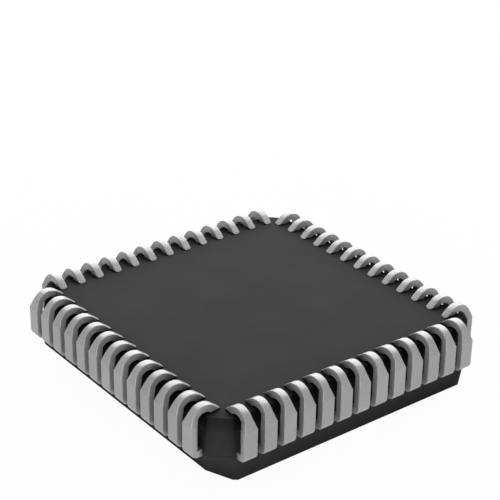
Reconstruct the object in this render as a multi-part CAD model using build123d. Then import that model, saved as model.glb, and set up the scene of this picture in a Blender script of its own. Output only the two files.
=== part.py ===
from build123d import *
from math import cos, radians, sin, sqrt, tan
import os

# A 52-lead plastic leaded chip carrier lying on its flat marking face with its J-leads up.
# Millimetres. The origin is the centre of the marking face, and +Z points out of the underside,
# towards the circuit board that the curled leads are soldered to.
# The bevelled pin 1 side faces -Y and the large pin 1 corner chamfer is at -X -Y.

# Rows of leads. Together these give 19.96 over the leads and an 18.60 square body.
leads_per_side = 13
lead_pitch = 1.27
row_end_margin = 1.68
shank_stand_off = 0.68

# Moulded body
underside_height = 3.80
draft_angle = 8.0
corner_chamfer = 1.10
pin_one_chamfer = 1.30
bevel_height = 0.66
bevel_run = 1.40
corner_radius = 0.32
rim_radius = 0.18

# One lead, formed from flat strip
strip_thickness = 0.42
shank_width = 0.82
neck_width = 0.48
shoulder_height = 1.51
shoulder_radius = 0.45
lean_below_crest = 0.95
lean_angle = 22.0
taper_length = 0.36
curl_radius = 0.92
curl_end_angle = 128.0
inner_curl_facets = 6
crest_above_underside = 0.56
tip_clearance = 0.02

# Fingers inside the moulding
finger_embed = 0.45
finger_tip_width = 0.34
finger_tip_gap = 0.95
finger_row_setback = 0.73

# Paddle, chip and wires inside the moulding
pad_size = 7.0
pad_downset = 0.36
tie_bar_width = 0.30
tie_bar_ramp = 0.60
tie_bar_cover = 0.45
attach_thickness = 0.03
attach_margin = 0.40
die_margin = 0.10
die_thickness = 0.36
bond_pad_inset = 0.15
bond_row_setback = 0.48
wire_diameter = 0.03
wire_loop_height = 0.22
wire_reach_on_finger = 0.25

# Places that follow from the sizes above
middle_lead = (leads_per_side - 1) / 2
body_half = middle_lead * lead_pitch + row_end_margin
body_size = 2 * body_half
row_reach = body_half + shank_stand_off
crest_height = underside_height + crest_above_underside
strip_top = shoulder_height + strip_thickness
parting_height = shoulder_height + strip_thickness / 2
lean_start = crest_height - lean_below_crest
lean_slope = tan(radians(lean_angle))
curl_height = crest_height - curl_radius
curl_inset = curl_radius / cos(radians(lean_angle)) - (lean_start - curl_height) * lean_slope
curl_centre = (row_reach - curl_inset, curl_height)
tip_height = underside_height + tip_clearance
taper_end = lean_start + taper_length
finger_root = body_half - finger_embed
finger_tip_reach = pad_size / 2 + finger_tip_gap
finger_tip_pitch = (finger_tip_reach - finger_row_setback) / middle_lead
attach_size = pad_size - 2 * attach_margin
die_size = attach_size - 2 * die_margin
bond_pad_pitch = (die_size / 2 - bond_row_setback) / middle_lead
pad_height = shoulder_height + pad_downset
die_top = pad_height - attach_thickness
die_face = die_top - die_thickness
draft_slope = tan(radians(draft_angle))


def prism(points, plane, thickness):
    """A flat polygon on a plane, thickened to both sides."""
    face = make_face(Polyline(*points, close=True))
    return extrude(plane * face, amount=thickness / 2, both=True)


def on_circle(centre, radius, angle):
    return (centre[0] + radius * cos(radians(angle)), centre[1] + radius * sin(radians(angle)))


def arc(centre, radius, start, end):
    """A circular edge from one angle to another, in degrees."""
    middle = (start + end) / 2
    return ThreePointArc(
        on_circle(centre, radius, start), on_circle(centre, radius, middle), on_circle(centre, radius, end)
    )


def strip_face(first_edges, second_edges):
    """A closed face between the outer and the inner line of a bent strip."""
    ends = [
        Line(first_edges[-1] @ 1, second_edges[-1] @ 1),
        Line(first_edges[0] @ 0, second_edges[0] @ 0),
    ]
    return make_face(first_edges + second_edges + ends)


def tip_point(radius):
    """Where the straight end of the curl is cut off, level with the underside and just clear of it."""
    across, height = on_circle(curl_centre, radius, curl_end_angle)
    return (across + (height - tip_height) * tan(radians(curl_end_angle)), tip_height)


def outside_profile():
    """Side view from the root in the moulding, round the shoulder, up the shank and round the curl.

    The shank stands upright, then leans in over the body and runs into the curl.
    """
    shoulder = (row_reach - shoulder_radius, shoulder_height + shoulder_radius)
    outer_bend = arc(shoulder, shoulder_radius, -90, 0)
    outer_curl = arc(curl_centre, curl_radius, lean_angle, curl_end_angle)
    outer = [
        Line((finger_root, shoulder_height), outer_bend @ 0),
        outer_bend,
        Polyline(outer_bend @ 1, (row_reach, lean_start), outer_curl @ 0),
        outer_curl,
        Line(outer_curl @ 1, tip_point(curl_radius)),
    ]
    inner_radius = curl_radius - strip_thickness
    step = (curl_end_angle - lean_angle) / inner_curl_facets
    turns = [lean_angle + step * facet for facet in range(inner_curl_facets + 1)]
    inner_face = row_reach - strip_thickness
    inner_lean_start = lean_start - strip_thickness * tan(radians(lean_angle / 2))
    inner_points = [(finger_root, strip_top), (inner_face, strip_top), (inner_face, inner_lean_start)]
    inner_points += [on_circle(curl_centre, inner_radius, turn) for turn in turns]
    return strip_face(outer, [Polyline(*inner_points, tip_point(inner_radius))])


def front_outline():
    """Front view of the lead: wide shank, short taper, narrow neck and curl."""
    wide = shank_width / 2
    narrow = neck_width / 2
    above = crest_height + strip_thickness
    below = shoulder_height - strip_thickness
    right = [(wide, below), (wide, lean_start), (narrow, taper_end), (narrow, above)]
    left = [(-across, height) for across, height in reversed(right)]
    return prism(right + left, Plane.YZ, 4 * row_reach)


def finger(position):
    """Flat finger that narrows from the root, inside the moulding, to its bonding tip near the chip."""
    shift = position * (finger_tip_pitch - lead_pitch)
    outline = [
        (finger_root, -shank_width / 2),
        (finger_root, shank_width / 2),
        (finger_tip_reach, shift + finger_tip_width / 2),
        (finger_tip_reach, shift - finger_tip_width / 2),
    ]
    return prism(outline, Plane.XY.offset(parting_height), strip_thickness)


def formed_lead():
    """The part of every lead outside its finger, on the +X side and centred on the X axis."""
    return extrude(Plane.XZ * outside_profile(), amount=shank_width, both=True) & front_outline()


def lead_number(quarter, position):
    """Pin 1 is the middle lead of the -Y side. The count runs on over -X, +Y and +X."""
    middle_pin = 1 + quarter * leads_per_side
    return int(middle_pin - position - 1) % (4 * leads_per_side) + 1


def all_leads():
    """Every lead by its pin number. Positions run from -middle_lead to +middle_lead in a row."""
    formed = formed_lead()
    leads = {}
    for index in range(leads_per_side):
        position = index - middle_lead
        lead = Pos(0, position * lead_pitch, 0) * (formed + finger(position))
        for quarter in range(4):
            leads[lead_number(quarter, position)] = lead.rotate(Axis.Z, 270 - 90 * quarter)
    return leads


def body_outline():
    """Plan of the moulding at its parting line, widest there, with its four cut corners."""
    near = body_half - corner_chamfer
    pin_one = body_half - pin_one_chamfer
    corners = [
        (body_half, -near),
        (body_half, near),
        (near, body_half),
        (-near, body_half),
        (-body_half, near),
        (-body_half, -pin_one),
        (-pin_one, -body_half),
        (near, -body_half),
    ]
    return make_face(Polyline(*corners, close=True))


def pin_one_bevel():
    """Wedge that the bevel takes off the marking face along the -Y side."""
    wall = body_half - (parting_height - bevel_height) * draft_slope
    start = Vector(-wall, bevel_height)
    end = Vector(-wall + bevel_run, 0)
    along = end - start
    wedge = [start - along, end + along, start - along + Vector(0, -3 * bevel_height)]
    return prism([(p.X, p.Y) for p in wedge], Plane.YZ, 2 * body_size)


def drafted_half(height):
    """One half of the moulding, standing on the parting plane, with rounded corners and a rounded rim."""
    half = extrude(body_outline(), amount=height, taper=draft_angle)
    corner_edges = [edge for edge in half.edges() if abs(edge.tangent_at(0.5).Z) > 0.5]
    half = fillet(corner_edges, corner_radius)
    return fillet(half.faces().sort_by(Axis.Z)[-1].edges(), rim_radius)


def moulding_block():
    """The moulding without its contents, drafted both ways from the parting line."""
    underside_half = drafted_half(underside_height - parting_height)
    marking_half = mirror(drafted_half(parting_height), about=Plane.XY)
    block = Pos(0, 0, parting_height) * (underside_half + marking_half)
    return block - pin_one_bevel()


def die_paddle():
    """Square paddle set down from the fingers, with a tie bar to each corner."""
    paddle = Pos(0, 0, pad_height) * Box(
        pad_size, pad_size, strip_thickness, align=(Align.CENTER, Align.CENTER, Align.MIN)
    )
    ramp_start = (pad_size / 2 - tie_bar_width) * sqrt(2)
    ramp_end = ramp_start + tie_bar_ramp
    for turn, chamfer_size in ((45, corner_chamfer), (135, corner_chamfer),
                               (225, pin_one_chamfer), (315, corner_chamfer)):
        tie_end = (body_half - chamfer_size / 2) * sqrt(2) - tie_bar_cover
        line = [
            (ramp_start - tie_bar_width, pad_height),
            (ramp_start, pad_height),
            (ramp_end, shoulder_height),
            (tie_end, shoulder_height),
            (tie_end, strip_top),
            (ramp_end, strip_top),
            (ramp_start, pad_height + strip_thickness),
            (ramp_start - tie_bar_width, pad_height + strip_thickness),
        ]
        bar = prism(line, Plane.XZ, tie_bar_width)
        paddle = paddle + bar.rotate(Axis.Z, turn)
    return paddle


def square_plate(size, bottom, thickness):
    return Pos(0, 0, bottom) * Box(size, size, thickness, align=(Align.CENTER, Align.CENTER, Align.MIN))


def bond_wire(position):
    """One wire on the +X side: up from the chip's edge and down in one slope to the finger."""
    slope = (lead_pitch - finger_tip_pitch) * position / (finger_root - finger_tip_reach)
    start = Vector(die_size / 2 - bond_pad_inset, position * bond_pad_pitch, die_face)
    end = Vector(
        finger_tip_reach + wire_reach_on_finger,
        position * finger_tip_pitch + slope * wire_reach_on_finger,
        die_face,
    )
    length = (end - start).length
    half = wire_diameter / 2
    outline = [
        (-half, 0),
        (half, 0),
        (half, wire_loop_height - wire_diameter),
        (length, die_face - shoulder_height),
        (-half, wire_loop_height),
    ]
    plane = Plane(origin=start, x_dir=end - start, z_dir=(end - start).cross(Vector(0, 0, -1)))
    return prism(outline, plane, wire_diameter)


def all_wires():
    wires = []
    for index in range(leads_per_side):
        wire = bond_wire(index - middle_lead)
        wires += [wire.rotate(Axis.Z, turn) for turn in (0, 90, 180, 270)]
    return wires


leads = all_leads()
die_pad = die_paddle()
die_attach = square_plate(attach_size, die_top, attach_thickness)
die = square_plate(die_size, die_face, die_thickness)
wires = all_wires()

contents = list(leads.values()) + [die_pad, die_attach, die] + wires
moulded_body = moulding_block() - contents

os.makedirs("parts", exist_ok=True)
export_step(moulded_body, "parts/moulded_body.step")
export_step(die_pad, "parts/die_pad.step")
export_step(die_attach, "parts/die_attach.step")
export_step(die, "parts/die.step")
export_step(Compound(children=wires), "parts/bond_wires.step")
for number, lead in leads.items():
    export_step(lead, f"parts/lead_{number:02d}.step")
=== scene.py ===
import math
import bmesh
import bpy
from mathutils import Matrix, Vector


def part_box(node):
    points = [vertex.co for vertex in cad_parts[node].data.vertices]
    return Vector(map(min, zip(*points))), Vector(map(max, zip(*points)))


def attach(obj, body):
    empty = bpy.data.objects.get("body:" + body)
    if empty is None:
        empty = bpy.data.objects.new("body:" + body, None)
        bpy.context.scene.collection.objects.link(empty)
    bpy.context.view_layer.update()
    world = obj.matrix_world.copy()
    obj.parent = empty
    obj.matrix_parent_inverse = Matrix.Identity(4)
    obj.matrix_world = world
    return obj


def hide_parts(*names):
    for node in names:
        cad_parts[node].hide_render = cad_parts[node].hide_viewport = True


# A 52-lead plastic leaded chip carrier on a pale studio floor, marking face down and J-leads up.
# Blender works in metres. Named sizes below are in millimetres and MM turns them into metres.
MM = 0.001

# Rows of leads
LEADS_PER_SIDE = 13
PITCH = 1.27
MIDDLE_LEAD = (LEADS_PER_SIDE - 1) / 2

# One lead, formed from flat strip
STRIP_THICKNESS = 0.42
NECK_WIDTH = 0.48
SHOULDER_RADIUS = 0.45
LEAN_BELOW_CREST = 0.95
LEAN_ANGLE = 22.0
TAPER_LENGTH = 0.56
LEDGE_HEIGHT = 0.04
LEDGE_DEPTH = 0.025
CURL_RADIUS = 0.92
CURL_END_ANGLE = 128.0
TIP_CLEARANCE = 0.02
TIP_ROUNDING = 0.12
FINGER_EMBED = 0.45
FINGER_TIP_WIDTH = 0.34
FINGER_TIP_PITCH = 0.62
EDGE_RADIUS = 0.05
CREASE = 0.03

# How finely a lead is divided
EDGE_STEPS = 4
SHOULDER_STEPS = 8
LEAN_STEPS = 8
CURL_STEPS = 22
TIP_STEPS = 8

# Moulded body
PARTING_HEIGHT = 1.72
DRAFT_ANGLE = 8.0
CORNER_CHAMFER = 1.10
PIN_ONE_CHAMFER = 1.30
BEVEL_HEIGHT = 0.66
BEVEL_RUN = 1.40
RIM_WIDTH = 0.14
RIM_STEPS = 5
FLASH_HEIGHT = 0.05
FLASH_DEPTH = 0.02
SAME_HEIGHT = 0.01

# Noise in every surface, a fine grain and a broad drift. The spans are the values that matter of the
# fine noise alone and of the sum of both.
FINE_DETAIL = 3.0
BROAD_GRAIN = 3.0
BROAD_DETAIL = 2.0
FINE_SPAN = (0.3, 0.7)
SUM_SPAN = (0.7, 1.3)

# Surfaces that show. The tints say how far metal and plastic are short of green.
TIN_TINT = 0.015
COMPOUND_TINT = 0.033
COMPOUND_GLOSS = 0.02

# Painted shade: how far the colour is darkened in the recesses between the leads
PAINTED_SHADE_REACH = 0.8
PAINTED_SHADE_BLEND = 0.2
PAINTED_SHADE_SAMPLES = 8
TIN_PAINTED_SHADE = 0.5
COMPOUND_PAINTED_SHADE = 1.8

# Studio
FLOOR_SIZE = 400.0
FLOOR_GREY = 0.9
FLOOR_ROUGHNESS = 0.9
FLOOR_SHADOW = 0.03
STUDIO_LEVEL = 0.14

# Camera, as in the photograph, whose frame is 500 pixels square
FRAME_SIDE = 500
SENSOR = 36.0
NEAR_CLIP = 1.0
FAR_CLIP = 2000.0
FOCAL_PIXELS = 1481.8
CAMERA_AZIMUTH = 51.87
CAMERA_ELEVATION = 29.51
CAMERA_ROLL = -0.98
CAMERA_DISTANCE = 86.35
TARGET = Vector((0, 0, 2))
TARGET_PIXEL = (250.38, 332.40)

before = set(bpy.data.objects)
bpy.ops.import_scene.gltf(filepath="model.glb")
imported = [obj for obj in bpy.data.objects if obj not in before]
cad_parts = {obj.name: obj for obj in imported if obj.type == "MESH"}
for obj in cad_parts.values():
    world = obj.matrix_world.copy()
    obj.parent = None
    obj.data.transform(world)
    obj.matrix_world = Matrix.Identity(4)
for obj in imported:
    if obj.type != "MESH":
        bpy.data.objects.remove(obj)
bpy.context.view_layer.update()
body_low, body_high = (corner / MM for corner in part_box("moulded_body"))
lead_low, lead_high = (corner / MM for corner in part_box("lead_40"))

# Sizes that the frame gives. Lead 40 is the middle lead of the +X side.
BODY_HALF = body_high.x
UNDERSIDE = body_high.z
REACH = lead_high.x
CREST = lead_high.z
FOOT = lead_low.z
SHANK_WIDTH = lead_high.y - lead_low.y
FINGER_TIP = lead_low.x


def new_piece(name, bm):
    """Turns a bmesh in metres into an object of the scene."""
    mesh = bpy.data.meshes.new(name)
    bmesh.ops.recalc_face_normals(bm, faces=bm.faces)
    bm.to_mesh(mesh)
    bm.free()
    piece = bpy.data.objects.new(name, mesh)
    bpy.context.scene.collection.objects.link(piece)
    return piece


def on_circle(centre, radius, degrees):
    """A point in side view, where 0 degrees points outwards and 90 degrees up."""
    angle = math.radians(degrees)
    return Vector((centre.x + radius * math.cos(angle), centre.y + radius * math.sin(angle)))


def curl_centre():
    """Centre of the curl in side view. The leaning stretch runs into the curl without a kink."""
    lean = math.radians(LEAN_ANGLE)
    height = CREST - CURL_RADIUS
    above_centre = CREST - LEAN_BELOW_CREST - height
    return Vector((REACH - CURL_RADIUS / math.cos(lean) + above_centre * math.tan(lean), height))


def tip_point(radius):
    """Where the straight end of the curl is cut off, level with the underside and just clear of it."""
    start = on_circle(curl_centre(), radius, CURL_END_ANGLE)
    height = UNDERSIDE + TIP_CLEARANCE
    return Vector((start.x + (start.y - height) * math.tan(math.radians(CURL_END_ANGLE)), height))


def tip_cut(outer):
    """How much the rounded corners of the tip take off either edge."""
    run = (outer - tip_point(CURL_RADIUS)).length
    if run >= TIP_ROUNDING:
        return 0
    return TIP_ROUNDING - math.sqrt(TIP_ROUNDING ** 2 - (TIP_ROUNDING - run) ** 2)


def half_width(outer):
    """Half width of a lead at a point of its outer side.

    The wide shank steps in by a small ledge, tapers to the narrow neck and ends in a rounded tip.
    """
    rise = outer.y - (CREST - LEAN_BELOW_CREST)
    wide = SHANK_WIDTH / 2
    narrow = NECK_WIDTH / 2
    if rise <= 0:
        return wide
    if outer.x < curl_centre().x:
        return narrow - tip_cut(outer)
    if rise >= TAPER_LENGTH:
        return narrow
    if rise <= LEDGE_HEIGHT:
        return wide - LEDGE_DEPTH * rise / LEDGE_HEIGHT
    share = (rise - LEDGE_HEIGHT) / (TAPER_LENGTH - LEDGE_HEIGHT)
    return wide - LEDGE_DEPTH + (narrow - wide + LEDGE_DEPTH) * share


def bent_strip(centre, radius, degrees):
    """Outer and inner point of the strip where it bends round a centre."""
    return on_circle(centre, radius, degrees), on_circle(centre, radius - STRIP_THICKNESS, degrees)


def shoulder_stations():
    """The bend outside the moulding, from level to upright."""
    centre = Vector((REACH - SHOULDER_RADIUS, FOOT + SHOULDER_RADIUS))
    turns = [-90 + 90 * step / SHOULDER_STEPS for step in range(SHOULDER_STEPS + 1)]
    return [bent_strip(centre, SHOULDER_RADIUS, turn) for turn in turns]


def lean_stations():
    """The kink at the top of the shank, and the stretch that leans in from there to the curl."""
    lean_start = CREST - LEAN_BELOW_CREST
    bend = Vector((REACH, lean_start))
    inner_drop = STRIP_THICKNESS * math.tan(math.radians(LEAN_ANGLE / 2))
    inner_bend = Vector((REACH - STRIP_THICKNESS, lean_start - inner_drop))
    below = Vector((0, -CREASE))
    outer_end, inner_end = bent_strip(curl_centre(), CURL_RADIUS, LEAN_ANGLE)
    first = CREASE / (outer_end - bend).length
    shares = [first] + [first + (1 - first) * step / LEAN_STEPS for step in range(1, LEAN_STEPS)]
    stations = [(bend + below, inner_bend + below), (bend, inner_bend)]
    stations += [(bend.lerp(outer_end, share), inner_bend.lerp(inner_end, share)) for share in shares]
    return stations


def curl_stations():
    """The round part of the curl."""
    whole = CURL_END_ANGLE - LEAN_ANGLE
    turns = [LEAN_ANGLE + whole * step / CURL_STEPS for step in range(CURL_STEPS + 1)]
    return [bent_strip(curl_centre(), CURL_RADIUS, turn) for turn in turns]


def tip_stations(outer_end, inner_end):
    """The straight end of the curl, in steps that grow finer towards its rounded tip."""
    outer_tip = tip_point(CURL_RADIUS)
    inner_tip = tip_point(CURL_RADIUS - STRIP_THICKNESS)
    shares = [math.sin(math.pi / 2 * step / TIP_STEPS) for step in range(1, TIP_STEPS + 1)]
    return [(outer_end.lerp(outer_tip, share), inner_end.lerp(inner_tip, share)) for share in shares]


def lead_stations():
    """Outer and inner point of the strip, in side view, from the shoulder to the tip of the curl."""
    curl = curl_stations()
    return shoulder_stations() + lean_stations() + curl + tip_stations(*curl[-1])


def rounded_section(outer, inner, half, shift):
    """Closed ring of points round the strip: a flat section with rounded edges."""
    corners = [
        Vector((outer.x, shift - half, outer.y)),
        Vector((outer.x, shift + half, outer.y)),
        Vector((inner.x, shift + half, inner.y)),
        Vector((inner.x, shift - half, inner.y)),
    ]
    ring = []
    for index, corner in enumerate(corners):
        before = (corners[index - 1] - corner).normalized() * EDGE_RADIUS
        after = (corners[(index + 1) % len(corners)] - corner).normalized() * EDGE_RADIUS
        for step in range(EDGE_STEPS + 1):
            angle = math.pi / 2 * step / EDGE_STEPS
            ring.append(corner + before * (1 - math.sin(angle)) + after * (1 - math.cos(angle)))
    return ring


def finger_ring(reach, width, shift):
    """Section of the flat finger in the moulding."""
    outer = Vector((reach, FOOT))
    inner = Vector((reach, FOOT + STRIP_THICKNESS))
    return rounded_section(outer, inner, width / 2, shift)


def lead_rings(position):
    """Sections along one lead of the +X side, from the finger's tip in the moulding to the curl's tip."""
    fan = position * (FINGER_TIP_PITCH - PITCH)
    rings = [
        finger_ring(FINGER_TIP, FINGER_TIP_WIDTH, fan),
        finger_ring(BODY_HALF - FINGER_EMBED, SHANK_WIDTH, 0),
    ]
    rings += [rounded_section(outer, inner, half_width(outer), 0) for outer, inner in lead_stations()]
    return rings


def add_lead(number, quarter, position):
    """One formed lead in its place. Its mesh is in the frame's own coordinates."""
    turn = Matrix.Rotation(math.radians(270 - 90 * quarter), 4, "Z")
    place = turn @ Matrix.Translation((0, position * PITCH, 0))
    bm = bmesh.new()
    rings = [[bm.verts.new(place @ point * MM) for point in ring] for ring in lead_rings(position)]
    for lower, upper in zip(rings, rings[1:]):
        for index, vertex in enumerate(lower):
            after = (index + 1) % len(lower)
            bm.faces.new((vertex, lower[after], upper[after], upper[index]))
    for ring in (rings[0], rings[-1]):
        cap = bm.faces.new(ring)
        for edge in cap.edges:
            edge.smooth = False
    for face in bm.faces:
        face.smooth = True
    lead = new_piece(f"formed_lead_{number:02d}", bm)
    normals = lead.modifiers.new("even faces", "WEIGHTED_NORMAL")
    normals.keep_sharp = True
    return lead


def add_leads(material):
    """All leads. Pin 1 is the middle lead of the -Y side, and the count runs on over -X, +Y and +X."""
    for quarter in range(4):
        for index in range(LEADS_PER_SIDE):
            position = index - MIDDLE_LEAD
            number = int(quarter * LEADS_PER_SIDE - position) % (4 * LEADS_PER_SIDE) + 1
            lead = add_lead(number, quarter, position)
            lead.data.materials.append(material)
            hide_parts(f"lead_{number:02d}")
            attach(lead, "root")


def keep_behind(bm, point, normal):
    """Cuts off what lies in front of a plane and closes the cut."""
    geometry = bm.verts[:] + bm.edges[:] + bm.faces[:]
    place = point * MM
    cut = bmesh.ops.bisect_plane(bm, geom=geometry, plane_co=place, plane_no=normal, clear_outer=True)
    edges = [item for item in cut["geom_cut"] if isinstance(item, bmesh.types.BMEdge)]
    if edges:
        bmesh.ops.edgeloop_fill(bm, edges=edges)


def wall_planes():
    """Direction of each of the eight walls in degrees, and how far out it is at the parting line."""
    corner_chamfers = (CORNER_CHAMFER, CORNER_CHAMFER, PIN_ONE_CHAMFER, CORNER_CHAMFER)
    for side, chamfer in enumerate(corner_chamfers):
        yield 90 * side, BODY_HALF
        yield 90 * side + 45, (2 * BODY_HALF - chamfer) / math.sqrt(2)


def cut_walls(bm):
    """Cuts the eight walls, drafted both ways from the parting line."""
    slope = math.radians(DRAFT_ANGLE)
    for degrees, distance in wall_planes():
        direction = Matrix.Rotation(math.radians(degrees), 3, "Z") @ Vector((1, 0, 0))
        start = direction * distance + Vector((0, 0, PARTING_HEIGHT))
        for rise in (1, -1):
            normal = direction * math.cos(slope) + Vector((0, 0, rise * math.sin(slope)))
            keep_behind(bm, start, normal)


def cut_bevel(bm):
    """Cuts the bevel along the pin 1 side of the marking face."""
    slope = math.radians(DRAFT_ANGLE)
    wall = BODY_HALF - (PARTING_HEIGHT - BEVEL_HEIGHT) * math.tan(slope)
    keep_behind(bm, Vector((0, -wall, BEVEL_HEIGHT)), Vector((0, -BEVEL_HEIGHT, -BEVEL_RUN)))


def add_flash(bm):
    """A fine raised line all round at the parting plane, where the two mould halves met."""
    for offset in (-FLASH_HEIGHT / 2, 0, FLASH_HEIGHT / 2):
        geometry = bm.verts[:] + bm.edges[:] + bm.faces[:]
        level = Vector((0, 0, (PARTING_HEIGHT + offset) * MM))
        bmesh.ops.bisect_plane(bm, geom=geometry, plane_co=level, plane_no=(0, 0, 1))
    growth = 1 + FLASH_DEPTH / BODY_HALF
    for vertex in bm.verts:
        if abs(vertex.co.z / MM - PARTING_HEIGHT) < SAME_HEIGHT:
            vertex.co.x *= growth
            vertex.co.y *= growth


def mark_rims(bm):
    """Marks every edge of the block to be rounded, apart from the level ones at the parting line."""
    weights = bm.edges.layers.float.new("bevel_weight_edge")
    for edge in bm.edges:
        low, high = sorted(vertex.co.z / MM for vertex in edge.verts)
        at_parting = low > PARTING_HEIGHT - FLASH_HEIGHT and high < PARTING_HEIGHT + FLASH_HEIGHT
        level = high - low < SAME_HEIGHT
        if not (level and at_parting):
            edge[weights] = 1.0


def add_body(material):
    """The moulded block: drafted walls, cut corners, flat faces and the pin 1 bevel, with round rims."""
    bm = bmesh.new()
    bmesh.ops.create_cube(bm, size=4 * BODY_HALF * MM)
    cut_walls(bm)
    keep_behind(bm, Vector((0, 0, UNDERSIDE)), Vector((0, 0, 1)))
    keep_behind(bm, Vector((0, 0, 0)), Vector((0, 0, -1)))
    cut_bevel(bm)
    add_flash(bm)
    mark_rims(bm)
    for face in bm.faces:
        face.smooth = True
    body = new_piece("moulded_block", bm)
    body.data.materials.append(material)
    rims = body.modifiers.new("rounded rims", "BEVEL")
    rims.limit_method = "WEIGHT"
    rims.width = RIM_WIDTH * MM
    rims.segments = RIM_STEPS
    rims.harden_normals = True
    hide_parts("moulded_body")
    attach(body, "root")


def noise(tree, place, size, detail):
    """Noise whose cells are about a size in millimetres across."""
    node = tree.nodes.new("ShaderNodeTexNoise")
    node.inputs["Scale"].default_value = 1 / (size * MM)
    node.inputs["Detail"].default_value = detail
    tree.links.new(place, node.inputs["Vector"])
    return node.outputs["Fac"]


def calculate(tree, operation, first, second):
    """One step of arithmetic on two values."""
    node = tree.nodes.new("ShaderNodeMath")
    node.operation = operation
    tree.links.new(first, node.inputs[0])
    tree.links.new(second, node.inputs[1])
    return node.outputs["Value"]


def stretch(tree, value, span, result):
    """The value moved from one span to another, and held inside it."""
    node = tree.nodes.new("ShaderNodeMapRange")
    node.inputs["From Min"].default_value = span[0]
    node.inputs["From Max"].default_value = span[1]
    node.inputs["To Min"].default_value = result[0]
    node.inputs["To Max"].default_value = result[1]
    tree.links.new(value, node.inputs["Value"])
    return node.outputs["Result"]


def between_colours(tree, share, dark, light):
    """The colour at a share of the way from dark to light."""
    node = tree.nodes.new("ShaderNodeMix")
    node.data_type = "RGBA"
    node.inputs["A"].default_value = (*dark, 1)
    node.inputs["B"].default_value = (*light, 1)
    tree.links.new(share, node.inputs["Factor"])
    return node.outputs["Result"]


def relief(tree, height, depth):
    """Bumps of a depth in millimetres."""
    node = tree.nodes.new("ShaderNodeBump")
    node.inputs["Strength"].default_value = 1.0
    node.inputs["Distance"].default_value = depth * MM
    tree.links.new(height, node.inputs["Height"])
    return node.outputs["Normal"]


def grain_material(name, dark, light, metallic, roughness, grain, bump):
    """A surface whose colour, roughness and relief vary with a fine grain and a broad drift.

    dark and light are the two colours, roughness the lowest and highest value, grain the size of
    the grain in millimetres and bump the depth of the relief in millimetres.
    """
    material = bpy.data.materials.new(name)
    material.use_nodes = True
    tree = material.node_tree
    shader = tree.nodes["Principled BSDF"]
    shader.inputs["Metallic"].default_value = metallic
    place = tree.nodes.new("ShaderNodeTexCoord").outputs["Object"]
    fine = noise(tree, place, grain, FINE_DETAIL)
    broad = noise(tree, place, BROAD_GRAIN, BROAD_DETAIL)
    share = stretch(tree, calculate(tree, "ADD", fine, broad), SUM_SPAN, (0, 1))
    tree.links.new(between_colours(tree, share, dark, light), shader.inputs["Base Color"])
    tree.links.new(stretch(tree, fine, FINE_SPAN, roughness), shader.inputs["Roughness"])
    tree.links.new(relief(tree, fine, bump), shader.inputs["Normal"])
    return material


def paint_recess_shade(material, depth):
    """Paints shade into the colour above the parting line, where other pieces stand close over it."""
    tree = material.node_tree
    colour = tree.nodes["Principled BSDF"].inputs["Base Color"]
    nearness = tree.nodes.new("ShaderNodeAmbientOcclusion")
    nearness.samples = PAINTED_SHADE_SAMPLES
    nearness.inputs["Distance"].default_value = PAINTED_SHADE_REACH * MM
    axes = tree.nodes.new("ShaderNodeSeparateXYZ")
    tree.links.new(tree.nodes.new("ShaderNodeTexCoord").outputs["Object"], axes.inputs["Vector"])
    parting = ((PARTING_HEIGHT - PAINTED_SHADE_BLEND) * MM, (PARTING_HEIGHT + PAINTED_SHADE_BLEND) * MM)
    power = stretch(tree, axes.outputs["Z"], parting, (0, depth))
    # Occlusion raised to a power that grows above the parting line, multiplied into the colour as painted
    # shade
    shade = calculate(tree, "POWER", nearness.outputs["AO"], power)
    shaded = tree.nodes.new("ShaderNodeMix")
    shaded.data_type = "RGBA"
    shaded.blend_type = "MULTIPLY"
    shaded.inputs["Factor"].default_value = 1.0
    tree.links.new(colour.links[0].from_socket, shaded.inputs["A"])
    tree.links.new(shade, shaded.inputs["B"])
    tree.links.new(shaded.outputs["Result"], colour)


def grey(value):
    return (value, value, value)


def plum_grey(value, tint):
    """Grey that is short of green by a share of its value."""
    return (value, value * (1 - tint), value)


def matte_tin():
    """Tin plate on the leads."""
    material = grain_material(
        "matte tin",
        dark=plum_grey(0.34, TIN_TINT),
        light=plum_grey(0.43, TIN_TINT),
        metallic=0.35,
        roughness=(0.32, 0.43),
        grain=0.10,
        bump=0.004,
    )
    # Painted shade on the tin where the leads stand close together
    paint_recess_shade(material, TIN_PAINTED_SHADE)
    return material


def moulding_compound():
    """Charcoal epoxy with a fine mould texture and hardly any gloss."""
    material = grain_material(
        "moulding compound",
        dark=plum_grey(0.050, COMPOUND_TINT),
        light=plum_grey(0.060, COMPOUND_TINT),
        metallic=0.0,
        roughness=(0.60, 0.72),
        grain=0.10,
        bump=0.004,
    )
    shader = material.node_tree.nodes["Principled BSDF"]
    shader.inputs["Specular IOR Level"].default_value = COMPOUND_GLOSS
    # Painted shade on the moulding in the recesses behind and between the leads
    paint_recess_shade(material, COMPOUND_PAINTED_SHADE)
    return material


def copper_strip():
    return grain_material(
        "copper strip",
        dark=(0.55, 0.26, 0.14),
        light=(0.66, 0.33, 0.19),
        metallic=1.0,
        roughness=(0.3, 0.45),
        grain=0.08,
        bump=0.002,
    )


def silver_epoxy():
    return grain_material(
        "silver epoxy",
        dark=grey(0.34),
        light=grey(0.48),
        metallic=0.6,
        roughness=(0.5, 0.7),
        grain=0.03,
        bump=0.004,
    )


def silicon():
    return grain_material(
        "silicon",
        dark=(0.07, 0.075, 0.09),
        light=(0.10, 0.105, 0.125),
        metallic=0.6,
        roughness=(0.12, 0.2),
        grain=0.05,
        bump=0.0005,
    )


def gold_wire():
    return grain_material(
        "gold wire",
        dark=(0.80, 0.56, 0.20),
        light=(0.92, 0.68, 0.29),
        metallic=1.0,
        roughness=(0.2, 0.3),
        grain=0.02,
        bump=0.0005,
    )


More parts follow.
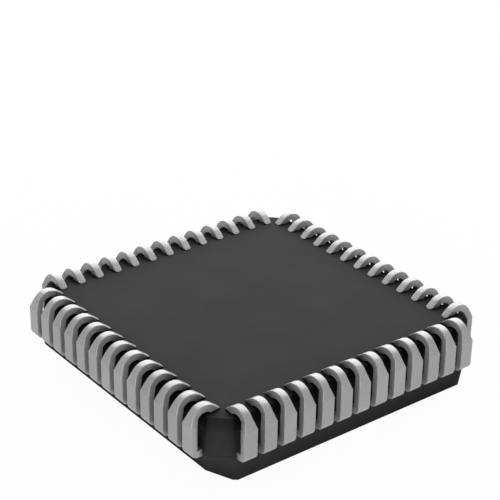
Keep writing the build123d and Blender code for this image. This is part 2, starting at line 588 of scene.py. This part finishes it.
def dress_hidden_nodes():
    """Gives the pieces sealed inside the moulding their materials."""
    materials = {
        "die_pad": copper_strip(),
        "die_attach": silver_epoxy(),
        "die": silicon(),
        "bond_wires": gold_wire(),
    }
    for name, material in materials.items():
        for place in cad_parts[name].material_slots:
            place.material = material


def ray_switch(tree):
    """1 for rays that come from the camera, a reflection or a transmission, and 0 for the rest."""
    path = tree.nodes.new("ShaderNodeLightPath")
    seen = calculate(tree, "MAXIMUM", path.outputs["Is Camera Ray"], path.outputs["Is Glossy Ray"])
    return calculate(tree, "MAXIMUM", seen, path.outputs["Is Transmission Ray"])


def add_world():
    """White where it is seen or mirrored, and a plain grey level as a light."""
    world = bpy.data.worlds.new("studio")
    world.use_nodes = True
    bpy.context.scene.world = world
    tree = world.node_tree
    background = tree.nodes["Background"]
    background.inputs["Color"].default_value = (1, 1, 1, 1)
    strength = stretch(tree, ray_switch(tree), (0, 1), (STUDIO_LEVEL, 1))
    tree.links.new(strength, background.inputs["Strength"])


def floor_material():
    """Pale paint for the light that falls on it, and nearly white where it is seen or mirrored."""
    material = bpy.data.materials.new("studio floor")
    material.use_nodes = True
    tree = material.node_tree
    paint = tree.nodes["Principled BSDF"]
    paint.inputs["Base Color"].default_value = (*grey(FLOOR_GREY), 1)
    paint.inputs["Roughness"].default_value = FLOOR_ROUGHNESS
    paint.inputs["Specular IOR Level"].default_value = 0.0
    white = tree.nodes.new("ShaderNodeEmission")
    white.inputs["Strength"].default_value = 1.0
    share = stretch(tree, ray_switch(tree), (0, 1), (0, 1 - FLOOR_SHADOW))
    mix = tree.nodes.new("ShaderNodeMixShader")
    tree.links.new(share, mix.inputs["Fac"])
    tree.links.new(paint.outputs["BSDF"], mix.inputs[1])
    tree.links.new(white.outputs["Emission"], mix.inputs[2])
    tree.links.new(mix.outputs["Shader"], tree.nodes["Material Output"].inputs["Surface"])
    return material


def add_floor():
    """Flat square floor that keeps a faint shadow of the part."""
    half = FLOOR_SIZE / 2 * MM
    bm = bmesh.new()
    corners = [bm.verts.new((x * half, y * half, 0)) for x, y in ((-1, -1), (1, -1), (1, 1), (-1, 1))]
    bm.faces.new(corners)
    floor = new_piece("floor", bm)
    floor.data.materials.append(floor_material())


def view_direction(azimuth, elevation):
    """Unit vector from the part towards a viewer. Azimuth 0 stands on the -Y side."""
    turn = math.radians(azimuth)
    rise = math.radians(elevation)
    return Vector((math.sin(turn) * math.cos(rise), -math.cos(turn) * math.cos(rise), math.sin(rise)))


def add_softbox(name, azimuth, elevation, distance, size, power):
    """A square area lamp that faces the part. Azimuth and elevation are as for the camera.

    Distance and size are in millimetres, and the power is in watts.
    """
    lamp = bpy.data.lights.new(name, "AREA")
    lamp.shape = "SQUARE"
    lamp.size = size * MM
    lamp.energy = power
    softbox = bpy.data.objects.new(name, lamp)
    bpy.context.scene.collection.objects.link(softbox)
    back = view_direction(azimuth, elevation)
    softbox.location = back * distance * MM
    softbox.rotation_euler = back.to_track_quat("Z", "Y").to_euler()


def add_lamps():
    add_softbox("back softbox", azimuth=228, elevation=37, distance=160, size=220, power=0.45)
    add_softbox("front softbox", azimuth=48, elevation=6, distance=180, size=60, power=0.185)


def rolled(right, up, degrees):
    """The camera's two image directions after a turn about its line of sight."""
    roll = math.radians(degrees)
    turned_right = right * math.cos(roll) - up * math.sin(roll)
    turned_up = right * math.sin(roll) + up * math.cos(roll)
    return turned_right, turned_up


def add_camera():
    """Looks so that the target falls on its pixel of the photograph."""
    data = bpy.data.cameras.new("camera")
    data.sensor_width = SENSOR
    data.lens = FOCAL_PIXELS / FRAME_SIDE * SENSOR
    data.clip_start = NEAR_CLIP * MM
    data.clip_end = FAR_CLIP * MM
    back = view_direction(CAMERA_AZIMUTH, CAMERA_ELEVATION)
    right = Vector((0, 0, 1)).cross(back).normalized()
    right, up = rolled(right, back.cross(right), CAMERA_ROLL)
    across = (TARGET_PIXEL[0] - FRAME_SIDE / 2) / FOCAL_PIXELS
    rise = (FRAME_SIDE / 2 - TARGET_PIXEL[1]) / FOCAL_PIXELS
    aim = (back + right * across + up * rise).normalized()
    right = (right - aim * right.dot(aim)).normalized()
    up = aim.cross(right)
    camera = bpy.data.objects.new("camera", data)
    bpy.context.scene.collection.objects.link(camera)
    turn = Matrix((right, up, aim)).transposed().to_4x4()
    camera.matrix_world = Matrix.Translation((TARGET + back * CAMERA_DISTANCE) * MM) @ turn
    bpy.context.scene.camera = camera


bpy.context.scene.view_settings.view_transform = "Standard"
add_body(moulding_compound())
add_leads(matte_tin())
dress_hidden_nodes()
add_world()
add_floor()
add_lamps()
add_camera()
